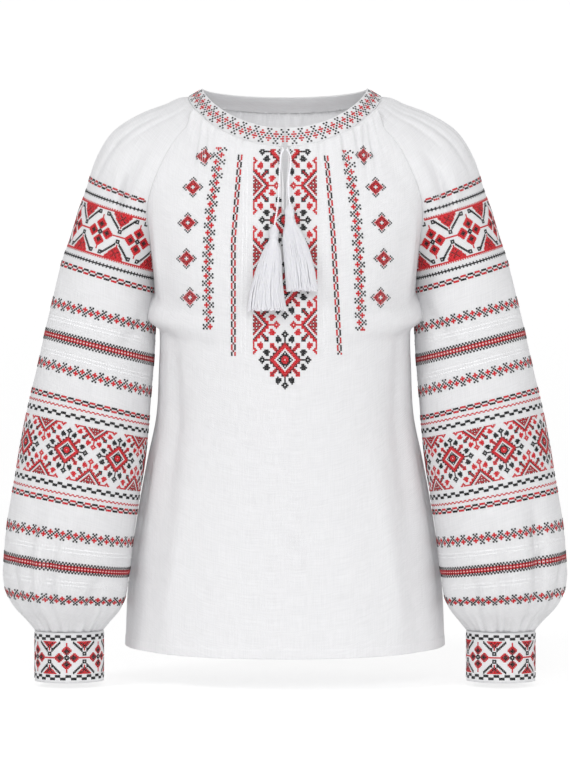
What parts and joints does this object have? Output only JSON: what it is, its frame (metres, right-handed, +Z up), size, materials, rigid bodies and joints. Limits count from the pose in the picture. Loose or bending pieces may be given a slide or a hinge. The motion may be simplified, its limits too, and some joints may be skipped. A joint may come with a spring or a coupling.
{
  "type": "vyshyvanka shirt",
  "caption": "Raglan linen blouse, hollow as worn, with cross-stitched front, neckband, sleeves and cuffs, full sleeves gathered into cuffs, a keyhole slit and tasselled tie cords.",
  "frame": {"origin": "middle of the neck opening, where the wearer's neck and shoulders hold the shirt", "axes": "+Z up, the front faces -Y, +X is the wearer's left"},
  "size_m": [0.622, 0.2426, 0.6566],
  "materials": {
    "linen_front": "white plain-weave linen with red, dark red and black cross-stitch at the centre front",
    "linen_back": "white plain-weave linen",
    "linen_sleeve": "white plain-weave linen with cross-stitched bands in red, dark red and black",
    "linen_neckband": "white linen band with a cross-stitched floral border",
    "linen_cuff": "white linen cuff covered with a cross-stitched band",
    "linen_binding": "white linen bound edge",
    "thread_red": "red cotton embroidery thread",
    "thread_dark_red": "dark red cotton embroidery thread",
    "thread_black": "black cotton embroidery thread",
    "thread_white": "white cotton sewing thread",
    "cotton_cord": "white twisted cotton cord",
    "cotton_tassel": "white mercerised cotton tassel"
  },
  "bodies": {
    "root": {"front_panel": "linen_front", "back_panel": "linen_back", "sleeve_left": "linen_sleeve", "sleeve_right": "linen_sleeve", "neckband": "linen_neckband", "cuff_left": "linen_cuff", "cuff_right": "linen_cuff", "slit_binding_left": "linen_binding", "slit_binding_right": "linen_binding", "tie_cord_left": "cotton_cord", "tie_cord_right": "cotton_cord", "tassel_left": "cotton_tassel", "tassel_right": "cotton_tassel"}
  },
  "joints": []
}
